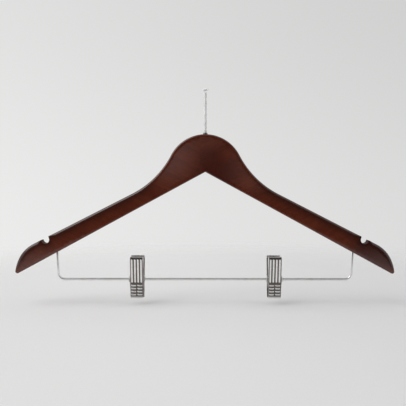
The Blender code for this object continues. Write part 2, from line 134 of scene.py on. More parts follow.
# Clips, in millimetres about the pivot: y is outwards from the bar's axis, z is up. The back jaw's
# ears lie outside the front one's, and facing turns y outwards for both.
Jaw = namedtuple("Jaw", "facing half_width ear_x ear_top ear_bottom net_half_width")
JAWS = {"front": Jaw(-1, 7.6, 7.1, 6.0, -8.0, 8.0),
        "back": Jaw(1, 8.3, 8.1, 5.0, -14.5, 8.8)}
SHEET = 0.8
PLATE_TOP = 27.5
PLATE_CREASE_Z = 25.7
PLATE_BEND = (4.5, -4.8)  # (y, z) where the handle's lean gives way to the jaw's
PLATE_BOTTOM = -22.0
PLATE_CORNER = 0.8
PLATE_SOFTNESS = 0.5  # how gently the bend and the crease turn
LIP_LEAN = -1.15  # leans are y per z
HANDLE_LEAN = 0.157
JAW_LEAN = 0.099
EAR_SHEET = 0.7
EAR_RADIUS = 4.4
EAR_TIP_RADIUS = 1.0
EAR_HOLE_RADIUS = 2.75
RIB_HEIGHT = 0.75
RIB_HALF_WIDTH = 1.5
RIB_PITCH = 3.6
RIB_TOP = 24.8
RIB_BOTTOM = -3.5
GRIP_TOP = -6.75
GRIP_HALF_LENGTH = 3.0
GRIP_HALF_WIDTH = 1.4
GRIP_X = 3.6
BEAD_END = 0.8  # how far a bead runs on past its line, in half widths
JAW_STEP = 0.25
JAW_DEPTHS = (-5.0, 11.2)
JAW_HEIGHTS = (-22.4, 28.2)
PAD_HALF_WIDTH = 6.4
PAD_TOP = -8.6
PAD_BOTTOM = -20.3
PAD_CLEARANCE = 0.2
PAD_TO_SHEET = 0.3
TOOTH_PITCH = 1.56
TOOTH_HEIGHT = 0.28
PAD_STEP = 0.2
PAD_NET_HALF_WIDTH = 7.0
PAD_DEPTHS = (0.0, 4.6)
PAD_HEIGHTS = (-21.0, -8.0)
# Colour of the painted shade in the jaws' valleys and on their inner faces
RECESS_SHADE_COLOUR = (0.13, 0.115, 0.105)


# ---------------------------------------------------------------- meshes

def mesh_object(name, verts, faces, material):
    mesh = bpy.data.meshes.new(name)
    mesh.from_pydata([tuple(v) for v in verts], [], [tuple(f) for f in faces])
    mesh.validate()
    mesh.materials.append(material)
    mesh.shade_smooth()
    obj = bpy.data.objects.new(name, mesh)
    bpy.context.scene.collection.objects.link(obj)
    return obj


def settle(obj, body, slot, *nodes):
    """The piece moves with a body and stands for CAD nodes, which are hidden; the slot is not used.
    """
    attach(obj, body)
    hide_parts(*nodes)


def on_circle(centre, radius, angle):
    return Vector((centre[0] + radius * math.cos(angle), centre[1] + radius * math.sin(angle)))


def arc(centre, radius, start, end):
    """(u, v) points on an arc between two angles, both ends included."""
    steps = max(2, math.ceil(abs(end - start) / (2 * math.acos(1 - WOOD_SAG / radius))))
    return [on_circle(centre, radius, angle) for angle in np.linspace(start, end, steps + 1)]


def rounded(corners, radius, steps, closed=True):
    """A flat path with its corners replaced by arcs. The radius is one number, or one for each
    corner, and an arc takes less than half of the shorter edge beside it."""
    corners = [Vector(c) for c in corners]
    radii = radius if isinstance(radius, (list, tuple)) else [radius] * len(corners)
    path = []
    for i, corner in enumerate(corners):
        if not closed and i in (0, len(corners) - 1):
            path.append(corner)
            continue
        before, after = corners[i - 1], corners[(i + 1) % len(corners)]
        towards, away = (before - corner), (after - corner)
        room = 0.45 * min(towards.length, away.length)
        towards.normalize()
        away.normalize()
        half = towards.angle(away) / 2
        if half > math.radians(89):
            path.append(corner)
            continue
        r = min(radii[i], room * math.tan(half))
        centre = corner + (towards + away).normalized() * r / math.sin(half)
        start = corner + towards * r / math.tan(half) - centre
        turn = start.angle_signed(corner + away * r / math.tan(half) - centre)
        for k in range(steps + 1):
            path.append(centre + Matrix.Rotation(-turn * k / steps, 2) @ start)
    return path


def grid_faces(rows, columns, wrap_rows):
    """Quads between neighbouring rows of points; the columns always close on themselves."""
    last = rows if wrap_rows else rows - 1
    faces = []
    for i in range(last):
        for j in range(columns):
            k = (j + 1) % columns
            n = (i + 1) % rows
            faces.append((i * columns + j, i * columns + k, n * columns + k, n * columns + j))
    return faces


def lathe(name, profile, material, steps=72):
    """A turned piece about Z. The profile is (radius, z) from the top down its outside."""
    solid = profile[0][0] < 1e-9
    rings = profile[1:-1] if solid else profile
    turns = [math.tau * j / steps for j in range(steps)]
    verts = [(r * math.cos(a), r * math.sin(a), z) for r, z in rings for a in turns]
    faces = grid_faces(len(rings), steps, not solid)
    if solid:
        verts += [(0, 0, profile[0][1]), (0, 0, profile[-1][1])]
        top, bottom, last = len(verts) - 2, len(verts) - 1, (len(rings) - 1) * steps
        for j in range(steps):
            k = (j + 1) % steps
            faces.append((top, k, j))
            faces.append((bottom, last + j, last + k))
    faces = [tuple(reversed(f)) for f in faces]
    return mesh_object(name, verts, faces, material)


def sweep(name, points, radii, sides, material):
    """A round bar along 3-D points, with a radius at each point and closed ends."""
    points = [Vector(p) for p in points]
    tangents = []
    for i in range(len(points)):
        before, after = points[max(i - 1, 0)], points[min(i + 1, len(points) - 1)]
        tangents.append((after - before).normalized())
    normal = tangents[0].orthogonal().normalized()
    verts = []
    for point, tangent, radius in zip(points, tangents, radii):
        normal = (normal - tangent * normal.dot(tangent)).normalized()
        across = tangent.cross(normal)
        for j in range(sides):
            a = math.tau * j / sides
            verts.append(point + radius * (normal * math.cos(a) + across * math.sin(a)))
    faces = grid_faces(len(points), sides, False)
    faces.append(tuple(reversed(range(sides))))
    faces.append(tuple(range(len(verts) - sides, len(verts))))
    return mesh_object(name, verts, faces, material)


def smooth_max(a, b, reach):
    return np.maximum(a, b) + np.maximum(reach - np.abs(a - b), 0) ** 2 / (4 * reach)


def smooth_min(a, b, reach):
    return -smooth_max(-a, -b, reach)


def smooth_step(low, high, value):
    share = np.clip((value - low) / (high - low), 0, 1)
    return share * share * (3 - 2 * share)


def surface(name, field, low, high, step, material):
    """The surface where field(x, y, z) is zero, as a net of quads pulled onto it. Millimetres."""
    axes = [np.arange(a, b + step, step) for a, b in zip(low, high)]
    values = field(*np.meshgrid(*axes, indexing="ij"))
    inside = values < 0
    corners = [(i, j, k) for i in (0, 1) for j in (0, 1) for k in (0, 1)]
    cells = [n - 1 for n in values.shape]
    count = sum(inside[i:i + cells[0], j:j + cells[1], k:k + cells[2]].astype(int)
                for i, j, k in corners)
    active = np.argwhere((count > 0) & (count < 8))
    at_corner = {c: values[tuple((active + c).T)] for c in corners}
    total, hits = np.zeros((len(active), 3)), np.zeros(len(active))
    for start in corners:
        for axis in range(3):
            if start[axis]:
                continue
            end = tuple(s + (n == axis) for n, s in enumerate(start))
            a, b = at_corner[start], at_corner[end]
            crosses = (a < 0) != (b < 0)
            share = np.where(crosses, a / np.where(crosses, a - b, 1), 0)
            place = np.tile(np.array(start, float), (len(active), 1))
            place[:, axis] += share
            total += place * crosses[:, None]
            hits += crosses
    verts = (active + total / hits[:, None]) * step + np.array([a[0] for a in axes])
    verts = pulled_on(field, verts, step)
    index = np.full(cells, -1)
    index[tuple(active.T)] = np.arange(len(active))
    faces = []
    for axis in range(3):
        u, v = (axis + 1) % 3, (axis + 2) % 3
        ahead = tuple(slice(1, None) if n == axis else slice(None) for n in range(3))
        behind = tuple(slice(None, -1) if n == axis else slice(None) for n in range(3))
        changes = np.argwhere(inside[ahead] != inside[behind])
        changes = changes[(changes[:, u] > 0) & (changes[:, v] > 0)]
        leaving = inside[tuple(changes.T)]
        around = []
        for du, dv in ((1, 1), (0, 1), (0, 0), (1, 0)):
            cell = changes.copy()
            cell[:, u] -= du
            cell[:, v] -= dv
            around.append(index[tuple(cell.T)])
        quads = np.stack(around, axis=1)
        quads[~leaving] = quads[~leaving][:, ::-1]
        faces += quads.tolist()
    return mesh_object(name, verts, faces, material)


def pulled_on(field, points, step):
    """Moves points along the field's slope until they lie on its surface."""
    nudge = step * 0.1
    for _ in range(3):
        value = field(*points.T)
        slope = np.stack([
            (field(*(points + nudge * unit).T) - field(*(points - nudge * unit).T)) / (2 * nudge)
            for unit in np.eye(3)], axis=1)
        size = np.maximum((slope ** 2).sum(axis=1), 0.05)
        move = slope * (value / size)[:, None]
        points = points - np.clip(move, -0.5 * step, 0.5 * step)
    return points


def cut(obj, cutter):
    """Takes the cutter away from obj for good."""
    modifier = obj.modifiers.new("cut", "BOOLEAN")
    modifier.operation = "DIFFERENCE"
    modifier.solver = "EXACT"
    modifier.object = cutter
    graph = bpy.context.evaluated_depsgraph_get()
    mesh = bpy.data.meshes.new_from_object(obj.evaluated_get(graph))
    obj.modifiers.clear()
    obj.data = mesh
    bpy.data.objects.remove(cutter)


# ---------------------------------------------------------------- materials

def add(tree, kind, sockets=None, **settings):
    """Adds a node; sockets maps an input's name or number to a value or to another output."""
    node = tree.nodes.new(f"ShaderNode{kind}")
    for key, value in settings.items():
        setattr(node, key, value)
    for key, value in (sockets or {}).items():
        if isinstance(value, bpy.types.NodeSocket):
            tree.links.new(value, node.inputs[key])
        else:
            node.inputs[key].default_value = value
    return node


def new_material(name, **sockets):
    material = bpy.data.materials.new(name)
    material.use_nodes = True
    tree = material.node_tree
    shader = tree.nodes["Principled BSDF"]
    for key, value in sockets.items():
        shader.inputs[key.replace("_", " ")].default_value = value
    return material, tree, shader


def noise(tree, vector, scale, detail=4.0, roughness=0.55, distortion=0.0):
    return add(tree, "TexNoise", {
        "Vector": vector, "Scale": scale, "Detail": detail, "Roughness": roughness,
        "Distortion": distortion}).outputs["Fac"]


def stretched(tree, turn, scale):
    """Object coordinates turned about Y, then scaled, so that patterns can run along a slope."""
    place = add(tree, "TexCoord").outputs["Object"]
    turned = add(tree, "Mapping", {"Vector": place, "Rotation": (0, turn, 0)})
    scaled = add(tree, "Mapping", {"Vector": turned.outputs[0], "Scale": scale})
    return scaled.outputs[0]


def ramp(tree, factor, stops):
    """A colour ramp with stops of (place, colour)."""
    node = add(tree, "ValToRGB", {"Fac": factor})
    elements = node.color_ramp.elements
    while len(elements) < len(stops):
        elements.new(0.5)
    for element, (place, colour) in zip(elements, stops):
        element.position = place
        element.color = (*colour, 1)
    return node.outputs["Color"]


def remap(tree, value, low, high):
    """Spreads a 0..1 pattern over a range."""
    return add(tree, "MapRange", {"Value": value, "To Min": low, "To Max": high}).outputs[0]


def math_node(tree, operation, a, b=0.0, clamp=False):
    node = add(tree, "Math", {0: a, 1: b}, operation=operation, use_clamp=clamp)
    return node.outputs[0]


def step_up(tree, value, low, high):
    """A smooth rise from 0 at low to 1 at high."""
    node = add(tree, "MapRange", {"Value": value, "From Min": low, "From Max": high},
               interpolation_type="SMOOTHSTEP")
    return node.outputs[0]


def mix_colour(tree, factor, a, b, blend="MIX"):
    node = add(tree, "Mix", data_type="RGBA", blend_type=blend)
    for key, value in ((0, factor), (6, a), (7, b)):
        if isinstance(value, bpy.types.NodeSocket):
            tree.links.new(value, node.inputs[key])
        else:
            node.inputs[key].default_value = value if key == 0 else (*value, 1)
    return node.outputs[2]


def bump(tree, height, distance, strength=1.0, after=None):
    sockets = {"Height": height, "Distance": distance, "Strength": strength}
    if after:
        sockets["Normal"] = after
    return add(tree, "Bump", sockets).outputs["Normal"]


def stain_and_shade(tree, place, reach, depth):
    """How much darker the wood is coloured round a place, with a cloudy edge: stained deeper at the
    comb joint, painted shade at the right arm's tip.
    """
    here = add(tree, "TexCoord").outputs["Object"]
    away = add(tree, "VectorMath", {0: here, 1: place}, operation="DISTANCE").outputs["Value"]
    cloud = noise(tree, here, 35, detail=3)
    away = math_node(tree, "ADD", away, remap(tree, cloud, -0.3 * reach, 0.3 * reach))
    return math_node(tree, "MULTIPLY", step_up(tree, away, reach, 0.25 * reach), depth)


def mahogany(name, side):
    """Dark stained mahogany under satin lacquer, with the grain along the arm, and painted shade by
    the top edges and at the right arm's tip.
    """
    material, tree, shader = new_material(
        name, Specular_IOR_Level=0.02, Coat_Roughness=0.09, Coat_IOR=1.65)
    turn = side * SHOULDER_SLOPE
    along = stretched(tree, turn, (7, 45, 45))
    figure = noise(tree, along, 1.6, detail=5, distortion=0.6)
    streaks = noise(tree, stretched(tree, turn, (24, 420, 420)), 1.0, detail=5, roughness=0.6)
    pores = noise(tree, stretched(tree, turn, (110, 1900, 1900)), 1.0, detail=2)
    base = ramp(tree, figure, (
        (0.30, (0.098, 0.0176, 0.0068)), (0.52, (0.119, 0.0226, 0.0090)),
        (0.72, (0.140, 0.0280, 0.0116))))
    shade = ramp(tree, streaks, ((0.33, (0.84, 0.80, 0.78)), (0.62, (1.04, 1.03, 1.02))))
    colour = mix_colour(tree, 1.0, base, shade, "MULTIPLY")
    specks = ramp(tree, pores, ((0.33, (0.62, 0.56, 0.55)), (0.42, (1, 1, 1))))
    colour = mix_colour(tree, 0.8, colour, specks, "MULTIPLY")
    # The comb joint is stained deeper; on the right arm there is also painted shade at its tip
    for place, reach, depth in STAINS_AND_SHADES[name]:
        colour = mix_colour(tree, stain_and_shade(tree, place, reach, depth), colour, STAIN_AND_SHADE_COLOUR)
    # Painted shade along the top edges, from the 'edge' mark and broken up by the streaks; the mark
    # also thins the coat there
    edge = add(tree, "Attribute", attribute_name="edge").outputs["Fac"]
    edge_shade_mask = math_node(tree, "MULTIPLY", edge, remap(tree, streaks, 0.55, 0.95), clamp=True)
    colour = mix_colour(tree, edge_shade_mask, colour, EDGE_SHADE_COLOUR)
    tree.links.new(colour, shader.inputs["Base Color"])
    dull = add(tree, "Attribute", attribute_name="notch").outputs["Fac"]
    haze = noise(tree, stretched(tree, turn, (14, 30, 30)), 1.0, detail=3)
    rough = math_node(tree, "ADD", remap(tree, haze, 0.42, 0.56), math_node(
        tree, "MULTIPLY", dull, 0.25))
    tree.links.new(rough, shader.inputs["Roughness"])
    worn = math_node(tree, "MAXIMUM", math_node(tree, "MULTIPLY", dull, 0.75), math_node(
        tree, "MULTIPLY", edge, 0.08))
    coat = math_node(tree, "SUBTRACT", remap(tree, haze, 0.85, 1.0), worn, clamp=True)
    tree.links.new(coat, shader.inputs["Coat Weight"])
    waves = noise(tree, stretched(tree, turn, (18, 26, 26)), 1.0, detail=1)
    grain = bump(tree, streaks, 0.00004, 0.6)
    grain = bump(tree, pores, 0.00003, 0.5, grain)
    tree.links.new(bump(tree, waves, 0.0003, 0.3, grain), shader.inputs["Normal"])
    peel = bump(tree, noise(tree, stretched(tree, turn, (300, 420, 420)), 1.0), 0.00001, 0.4)
    tree.links.new(bump(tree, waves, 0.0003, 0.3, peel), shader.inputs["Coat Normal"])
    return material


def plated(name, colour, dark, scratch_scale, polish):
    """Bright plate over stamped or drawn metal: fine scratches, smudges, and painted shade darkening
    its recesses.
    """
    material, tree, shader = new_material(name, Metallic=1.0)
    place = add(tree, "TexCoord").outputs["Object"]
    smudge = noise(tree, place, 160, detail=4)
    scratches = noise(tree, stretched(tree, 0, scratch_scale), 1.0, detail=3, roughness=0.7)
    tint = ramp(tree, smudge, ((0.35, dark), (0.62, colour)))
    # Painted shade where a jaw is marked: its valleys and inner face
    painted_recess_shade = add(tree, "Attribute", attribute_name="painted_recess_shade").outputs["Fac"]
    tint = mix_colour(tree, painted_recess_shade, tint, RECESS_SHADE_COLOUR)
    tree.links.new(tint, shader.inputs["Base Color"])
    rough = math_node(tree, "ADD", remap(tree, smudge, *polish), math_node(
        tree, "MULTIPLY", painted_recess_shade, 0.15))
    tree.links.new(rough, shader.inputs["Roughness"])
    tree.links.new(bump(tree, scratches, 0.00001, 0.35), shader.inputs["Normal"])
    return material


def rubber():
    material, tree, shader = new_material("grip_rubber_look", Specular_IOR_Level=0.35)
    place = add(tree, "TexCoord").outputs["Object"]
    dust = noise(tree, place, 700, detail=4, roughness=0.7)
    tree.links.new(ramp(tree, dust, ((0.35, (0.055, 0.055, 0.06)), (0.7, (0.12, 0.12, 0.125)))),
                   shader.inputs["Base Color"])
    tree.links.new(remap(tree, dust, 0.6, 0.85), shader.inputs["Roughness"])
    tree.links.new(bump(tree, dust, 0.00003, 0.6), shader.inputs["Normal"])
    return material


MATERIALS = {
    "left_wood": mahogany("mahogany_left", -1),
    "right_wood": mahogany("mahogany_right", 1),
    "chrome": plated("chrome_stamped", (0.97, 0.965, 0.955), (0.88, 0.87, 0.86), (900, 900, 60),
                     (0.07, 0.17)),
    "wire": plated("chrome_drawn", (0.90, 0.90, 0.90), (0.78, 0.77, 0.76), (60, 2400, 2400),
                   (0.08, 0.18)),
    "pin": plated("satin_chrome_turned", (0.95, 0.95, 0.95), (0.87, 0.87, 0.86),
                  (300, 300, 2600), (0.80, 0.90)),
    "nickel": plated("dark_nickel_look", (0.17, 0.15, 0.14), (0.10, 0.09, 0.085),
                     (300, 300, 2600), (0.28, 0.42)),
    "steel": plated("spring_steel_look", (0.42, 0.42, 0.43), (0.30, 0.30, 0.31),
                    (1500, 1500, 1500), (0.22, 0.36)),
    "rubber": rubber(),
}


# ---------------------------------------------------------------- wooden body

def downhill(slope):
    """Unit (x, z) vectors along a line that falls towards the tip, and square to it, upwards."""
    along = Vector((math.cos(slope), -math.sin(slope)))
    upward = Vector((math.sin(slope), math.cos(slope)))
    return along, upward


def line_meets_circle(start, along, centre, radius):
    """The further of the two points where the line from start meets the circle."""
    offset = start - centre
    dot = offset.dot(along)
    slide = -dot + math.sqrt(dot * dot - offset.length_squared + radius * radius)
    return start + slide * along


def spaced(start, end, spacing=WOOD_SPACING):
    """Points on a straight line, without its ends."""
    count = max(1, round((end - start).length / spacing))
    return [start.lerp(end, i / count) for i in range(1, count)]


def shoulder_point(x):
    return Vector((x, SHOULDER_Z - math.tan(SHOULDER_SLOPE) * x))


def notch_cup():
    return shoulder_point(NOTCH_X) - Vector((0.0, NOTCH_SINK))


def notch_points():
    """The strap notch: a round cup with a steep inner wall and two softened lips."""
    along, upward = downhill(SHOULDER_SLOPE)
    cup, lip = notch_cup(), shoulder_point(NOTCH_INNER_X)
    away = lip - cup
    start = math.atan2(away.y, away.x) + math.acos(NOTCH_RADIUS / away.length)
    wall_foot = on_circle(cup, NOTCH_RADIUS, start)
    inner = rounded([shoulder_point(NOTCH_INNER_X - 3.0 * MM), lip, wall_foot],
                    [0, NOTCH_LIP_RADIUS, 0], 8, closed=False)
    wall = spaced(inner[-2], inner[-1], NOTCH_WALL_SPACING)

    lip_line = shoulder_point(0.0) - NOTCH_LIP_RADIUS * upward
    outer = line_meets_circle(lip_line, along, cup, NOTCH_RADIUS + NOTCH_LIP_RADIUS)
    away = outer - cup
    leave = math.atan2(away.y, away.x)
    bowl = arc(cup, NOTCH_RADIUS, start, math.tau + leave)
    outer_lip = arc(outer, NOTCH_LIP_RADIUS, math.pi + leave, math.pi / 2 - SHOULDER_SLOPE)
    return inner[:-1] + wall + bowl + outer_lip[1:]


def half_outline():
    """The right half's outline as (x, z), from the top of the head round the tip to the apex."""
    along, upward = downhill(SHOULDER_SLOPE)
    line_start = Vector((0.0, SHOULDER_Z))
    head = Vector((0.0, HEAD_TOP_Z - HEAD_RADIUS))
    neck_line = line_start + NECK_RADIUS * upward
    neck = line_meets_circle(neck_line, along, head, HEAD_RADIUS + NECK_RADIUS)
    meet = math.atan2(neck.y - head.y, neck.x - head.x)
    outline = arc(head, HEAD_RADIUS, math.pi / 2, meet)
    outline += arc(neck, NECK_RADIUS, meet - math.pi, -math.pi / 2 - SHOULDER_SLOPE)[1:]

    notch = notch_points()
    outline += spaced(outline[-1], notch[0]) + notch

    slide = (HALF_WIDTH - TIP_RADIUS + TIP_RADIUS * upward.x) / along.x
    tip = line_start + slide * along - TIP_RADIUS * upward
    along, upward = downhill(UNDERSIDE_SLOPE)
    corner_line = Vector((0.0, APEX_Z)) + TIP_CORNER_RADIUS * upward
    corner = line_meets_circle(corner_line, along, tip, TIP_RADIUS - TIP_CORNER_RADIUS)
    touch = math.atan2(corner.y - tip.y, corner.x - tip.x)
    tip_arc = arc(tip, TIP_RADIUS, math.pi / 2 - SHOULDER_SLOPE, touch)
    outline += spaced(outline[-1], tip_arc[0]) + tip_arc
    outline += arc(corner, TIP_CORNER_RADIUS, touch, -math.pi / 2 - UNDERSIDE_SLOPE)[1:]

    apex = Vector((0.0, APEX_Z - APEX_RADIUS / math.cos(UNDERSIDE_SLOPE)))
    apex_arc = arc(apex, APEX_RADIUS, math.pi / 2 - UNDERSIDE_SLOPE, math.pi / 2)
    outline += spaced(outline[-1], apex_arc[0]) + apex_arc
    return outline


def body_outline():
    right = half_outline()
    left = [Vector((-p.x, p.y)) for p in reversed(right[1:-1])]
    return right + left


def notch_nearness(point):
    """1 at the strap notches, 0 away from them."""
    away = (Vector((abs(point.x), point.y)) - notch_cup()).length - NOTCH_REACH
    return 1.0 - float(smooth_step(0.0, NOTCH_EDGE_BLEND, away))


def upperness(point):
    """0 along the underside of the arms, 1 along their tops and up the head."""
    height = point.y - APEX_Z + math.tan(UNDERSIDE_SLOPE) * abs(point.x)
    return float(smooth_step(*UNDER_FADE, height))


def headness(point):
    """1 round the head, 0 along the arms."""
    return float(smooth_step(*HEAD_FADE, abs(point.x)))


def edge_radius(point):
    """The rounding of the long edges: widest on top of the arms, smallest round the notches."""
    radius = EDGE_RADIUS + headness(point) * (HEAD_EDGE_RADIUS - EDGE_RADIUS)
    radius = UNDER_EDGE_RADIUS + upperness(point) * (radius - UNDER_EDGE_RADIUS)
    return radius - notch_nearness(point) * (radius - NOTCH_EDGE_RADIUS)


def painted_edge_shade(point, near=0.0):
    """How much painted shade darkens the wood by the top edges, near being the distance from their
    rounding.
    """
    strength = upperness(point) * (1.0 - 0.7 * headness(point))
    return strength * (1.0 - min(1.0, near / EDGE_SHADE_REACH))


def inward_normals(outline):
    normals = []
    for i, point in enumerate(outline):
        along = (outline[(i + 1) % len(outline)] - outline[i - 1]).normalized()
        normals.append(Vector((along.y, -along.x)))
    return normals


def face_points(border):
    """A grid of points inside a flat face, for its shading, and how far each is from the border."""
    edge = np.array([tuple(p) for p in border])
    low, high = edge.min(axis=0), edge.max(axis=0)
    xs = np.arange(low[0], high[0], FACE_SPACING)
    zs = np.arange(low[1], high[1], FACE_SPACING)
    grid = np.stack(np.meshgrid(xs, zs, indexing="ij"), axis=-1).reshape(-1, 2)
    ends = np.roll(edge, -1, axis=0)
    inside = np.zeros(len(grid), bool)
    distance = np.full(len(grid), np.inf)
    for a, b in zip(edge, ends):
        spans = (a[1] > grid[:, 1]) != (b[1] > grid[:, 1])
        rise = b[1] - a[1]
        if rise:
            crossing = a[0] + (grid[:, 1] - a[1]) / rise * (b[0] - a[0])
            inside ^= spans & (grid[:, 0] < crossing)
        side = b - a
        share = np.clip((grid - a) @ side / max(side @ side, 1e-18), 0, 1)
        distance = np.minimum(distance, np.linalg.norm(grid - a - share[:, None] * side, axis=1))
    keep = inside & (distance > 0.4 * FACE_SPACING)
    return grid[keep], distance[keep]


def wood_body():
    """Both arms as one rounded board: its points, its faces, and its points' painted edge shade and
    notch marks.
    """
    outline = body_outline()
    normals = inward_normals(outline)
    radii = [edge_radius(p) for p in outline]
    count = len(outline)
    verts, shade, dull = [], [], []
    levels = [(side, math.pi / 2 * (k if side < 0 else EDGE_STEPS - k) / EDGE_STEPS)
              for side in (-1, 1) for k in range(EDGE_STEPS + 1)]
    for side, angle in levels:
        for point, normal, radius in zip(outline, normals, radii):
            inset = point + normal * radius * (1 - math.sin(angle))
            y = side * (HALF_THICKNESS - radius * (1 - math.cos(angle)))
            verts.append((inset.x, y, inset.y))
            shade.append(painted_edge_shade(point))
            dull.append(notch_nearness(point))
    faces = grid_faces(len(levels), count, False)
    border = [p + n * r for p, n, r in zip(outline, normals, radii)]
    inner, distance = face_points(border)
    ring = [(i, (i + 1) % count) for i in range(count)]
    flat = [Vector(p) for p in border] + [Vector(p) for p in inner]
    points, _, triangles, origins, _, _ = delaunay_2d_cdt(flat, ring, [], 1, 1e-9)
    first_ring = {-1: 0, 1: (len(levels) - 1) * count}
    for side in (-1, 1):
        index = []
        for point, source in zip(points, origins):
            number = source[0] if source else -1
            if 0 <= number < count:
                index.append(first_ring[side] + number)
                continue
            index.append(len(verts))
            verts.append((point.x, side * HALF_THICKNESS, point.y))
            near = distance[number - count] if number >= 0 else 0.0
            shade.append(painted_edge_shade(point, near))
            dull.append(0.0)
        for triangle in triangles:
            corner = [index[n] for n in triangle]
            faces.append(tuple(corner if side < 0 else reversed(corner)))
    # 'edge' carries the painted shade by the top edges
    return verts, faces, {"edge": shade, "notch": dull}


def make_solid_outward(obj):
    bm = bmesh.new()
    bm.from_mesh(obj.data)
    bmesh.ops.recalc_face_normals(bm, faces=bm.faces[:])
    bm.to_mesh(obj.data)
    bm.free()


def prism(name, outline, low, high):
    """A straight block with an (x, y) outline, from z = low to z = high."""
    count = len(outline)
    verts = [(x, y, z) for z in (low, high) for x, y in outline]
    faces = grid_faces(2, count, False)
    faces += [tuple(reversed(range(count))), tuple(range(count, 2 * count))]
    obj = mesh_object(name, verts, faces, MATERIALS["left_wood"])
    make_solid_outward(obj)
    return obj


def comb_block(side):
    """What the arm on this side gives up to the other one: the far half and its comb slots."""
    layer = 2 * HALF_THICKNESS / COMB_LAYERS
    gap = SEAM_GAP / 2
    first_finger = 0 if side > 0 else 1
    outline = [(-FAR, -FAR)]
    for i in range(COMB_LAYERS):
        is_finger = i % 2 == first_finger
        edge = gap - COMB_REACH if is_finger else gap + COMB_REACH
        margin = gap if is_finger else -gap
        low = i * layer - HALF_THICKNESS
        start = -FAR if i == 0 else low + margin
        end = FAR if i == COMB_LAYERS - 1 else low + layer - margin
        outline += [(edge, start), (edge, end)]
    outline.append((-FAR, FAR))
    return prism("comb_block", [(side * x, y) for x, y in outline], -FAR, FAR)


def hole(start, end, radius):
    """A round drill whose axis runs from start to end."""
    start, end = Vector(start), Vector(end)
    length = (end - start).length
    profile = [(0.0, length), (radius, length), (radius, 0.0), (0.0, 0.0)]
    drill = lathe("drill", profile, MATERIALS["left_wood"], DRILL_STEPS)
    turn = (end - start).to_track_quat("Z", "Y").to_matrix().to_4x4()
    drill.data.transform(Matrix.Translation(start) @ turn)
    make_solid_outward(drill)
    return drill


def build_wood():
    verts, faces, marks = wood_body()
    for side_name, side in SIDES.items():
        arm = mesh_object(f"{side_name}_arm_wood", verts, faces, MATERIALS[f"{side_name}_wood"])
        for mark, values in marks.items():
            attribute = arm.data.attributes.new(mark, "FLOAT", "POINT")
            attribute.data.foreach_set("value", np.array(values, np.float32))
        make_solid_outward(arm)
        cut(arm, comb_block(side))
        pin_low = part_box("hanging_pin")[0].z - PIN_HOLE_MARGINS[0]
        pin_high = HEAD_TOP_Z + PIN_HOLE_MARGINS[1]
        cut(arm, hole((0, 0, pin_low), (0, 0, pin_high), PIN_HOLE_RADIUS))
        leg_top = Vector((side * BAR_LEG_TOP_X, 0, BAR_LEG_TOP_Z))
        leg_foot = Vector((side * BAR_CORNER_X, 0, BAR_Z))
        blind_end = leg_top + (leg_top - leg_foot).normalized() * BAR_HOLE_MARGIN
        cut(arm, hole(blind_end, leg_foot, BAR_HOLE_RADIUS))
        arm.data.shade_smooth()
        arm.data.set_sharp_from_angle(angle=math.radians(32))
        settle(arm, "hanger", "mahogany_lacquer", f"{side_name}_arm")


# ---------------------------------------------------------------- pin and bar

def build_pin():
    low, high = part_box("hanging_pin")
    head = high.x / MM
    top, bottom = high.z / MM, low.z / MM
    shank, neck, groove, bevel = 1.75, 1.3, 1.1, 0.45
    neck_foot, groove_top, groove_foot = -2.6, -75.2, -76.8
    # Radius and height down the outside: domed head, neck, shank with the ring's groove, bevelled end
    corners = [
        (0.0, top), (0.55 * head, top - 0.12), (head - 0.5, top - 0.5), (head, top - 1.1),
        (head, 0.5), (head - bevel, 0.0), (neck, 0.0), (neck, neck_foot),
        (shank, neck_foot - bevel), (shank, groove_top), (groove, groove_top),
        (groove, groove_foot), (shank, groove_foot), (shank, bottom + bevel),
        (shank - bevel, bottom), (0.0, bottom)]
    profile = rounded(corners, 0.25, 4, closed=False)
    pin = lathe("pin_turned", [(p.x * MM, p.y * MM) for p in profile], MATERIALS["pin"])
    pin.data.set_sharp_from_angle(angle=math.radians(40))
    settle(pin, "pin", "chrome_plate", "hanging_pin")

    low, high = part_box("pin_sleeve")
    flange, top, bottom = high.x / MM, high.z / MM, low.z / MM
    tube, bore = 2.45, 2.05
    seat = top - 1.6
    corners = [(bore, top), (bore + 0.2, top), (tube, seat + 0.6), (flange, seat + 0.45),
               (flange, seat), (tube, seat), (tube, bottom), (bore, bottom)]
    profile = rounded(corners, 0.2, 4)
    sleeve = lathe("pin_sleeve_turned", [(p.x * MM, p.y * MM) for p in profile],
                   MATERIALS["nickel"])
    settle(sleeve, "hanger", "dark_nickel", "pin_sleeve")

    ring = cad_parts["pin_retaining_ring"]
    ring.data.materials.clear()
    ring.data.materials.append(MATERIALS["steel"])


def build_bar():
    corners = [(-BAR_LEG_TOP_X, BAR_LEG_TOP_Z), (-BAR_CORNER_X, BAR_Z),
               (BAR_CORNER_X, BAR_Z), (BAR_LEG_TOP_X, BAR_LEG_TOP_Z)]
    path = rounded(corners, BAR_BEND_RADIUS, 20, closed=False)
    points = [Vector((p.x, 0, p.y)) for p in path]
    first, last = points[0], points[-1]
    from_tip = [0.0, 0.12, 0.35, 0.7]
    share_there = [0.62, 0.8, 0.94, 1.0]
    start_dir = (points[1] - first).normalized()
    end_dir = (points[-2] - last).normalized()
    starts = [first + start_dir * t * MM for t in from_tip]
    ends = [last + end_dir * t * MM for t in reversed(from_tip)]
    radii = [BAR_RADIUS * s for s in share_there]
    route = starts + points[1:-1] + ends
    sizes = radii + [BAR_RADIUS] * (len(points) - 2) + radii[::-1]
    bar = sweep("trouser_bar_drawn", route, sizes, 40, MATERIALS["wire"])
    bar.data.set_sharp_from_angle(angle=math.radians(40))
    settle(bar, "hanger", "chrome_plate", "trouser_bar")


# ---------------------------------------------------------------- clips

